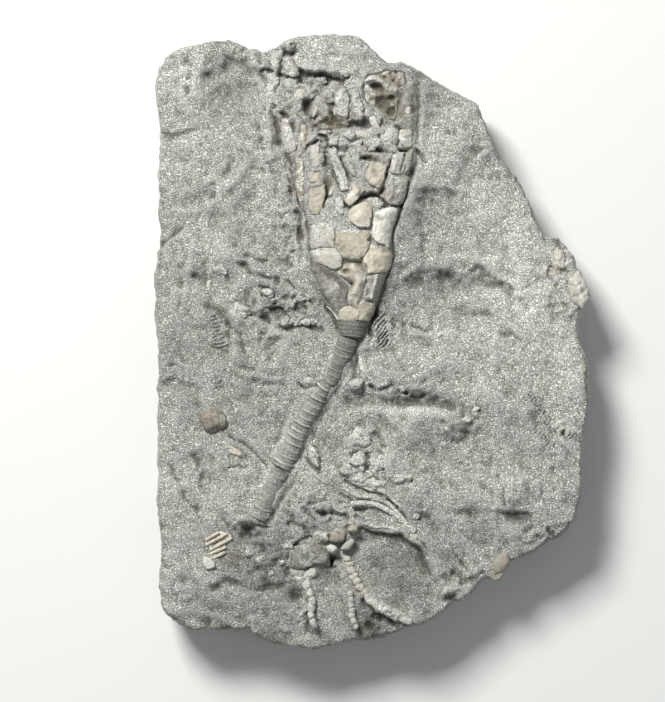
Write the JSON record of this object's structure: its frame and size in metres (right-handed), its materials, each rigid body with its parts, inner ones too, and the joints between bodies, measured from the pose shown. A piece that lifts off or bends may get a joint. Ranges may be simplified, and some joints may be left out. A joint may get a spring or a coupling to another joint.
{
  "type": "crinoid fossil on a matrix slab",
  "caption": "Fossil sea lily lying on a broken slab of grey siltstone: plated cup and arms, ringed stem, and small shells around it. Rests on its flat back.",
  "frame": {"origin": "on the resting plane, under the middle of the slab's outline", "axes": "+Z out of the fossil face, +Y along the slab towards the crown's arms, +X to the right"},
  "size_m": [0.1058, 0.1498, 0.0247],
  "materials": {
    "siltstone": "matt grey siltstone with a fine light and dark grain",
    "cream": "smooth cream calcite, slightly satin",
    "tan": "smooth tan calcite",
    "pale": "smooth off-white calcite",
    "grey": "smooth grey calcite, dusty",
    "stem": "dark grey calcite with fine rings",
    "brown": "rough brown crust",
    "shell": "cream shell calcite"
  },
  "bodies": {
    "root": {"matrix_slab": "siltstone", "base_plate_left": "cream", "base_plate_right": "cream", "brachial_cream": "cream", "brachial_tooth": "cream", "brachial_upper": "cream", "left_arm_1": "cream", "right_arm_5": "cream", "right_arm_6": "cream", "cream_nodule": "cream", "top_nub": "cream", "lens_plate": "cream", "lower_cup_middle": "cream", "lower_cup_right": "cream", "lower_arm_right": "cream", "coiled_shell": "cream", "basal_plate_centre": "tan", "radial_plate_centre": "tan", "radial_plate_right": "tan", "left_arm_2": "tan", "left_arm_4": "tan", "lower_cup_left": "tan", "radial_plate_left": "pale", "radial_plate_upper_left": "pale", "brachial_white": "pale", "right_arm_2": "pale", "right_arm_4": "pale", "left_arm_3": "pale", "left_arm_5": "pale", "white_nub": "pale", "lower_cup_tilted": "pale", "lower_base": "pale", "lower_cup_knob": "pale", "lower_stub": "pale", "lower_arm_left": "pale", "lower_arm_middle": "pale", "arched_arm": "pale", "edge_block": "pale", "basal_plate_left": "grey", "basal_plate_right": "grey", "right_arm_1": "grey", "right_arm_3": "grey", "finger_ossicle": "grey", "grey_block_left": "grey", "grey_block_right": "grey", "side_lump": "grey", "inner_arm": "grey", "far_left_arm": "grey", "stem_side_plate": "grey", "proximal_collar": "stem", "stem_upper": "stem", "stem_middle": "stem", "stem_lower": "stem", "left_outer_arm": "brown", "brown_growth": "brown", "brown_nodule": "brown", "ribbed_shell": "shell", "shell_fragment": "shell"}
  },
  "joints": []
}
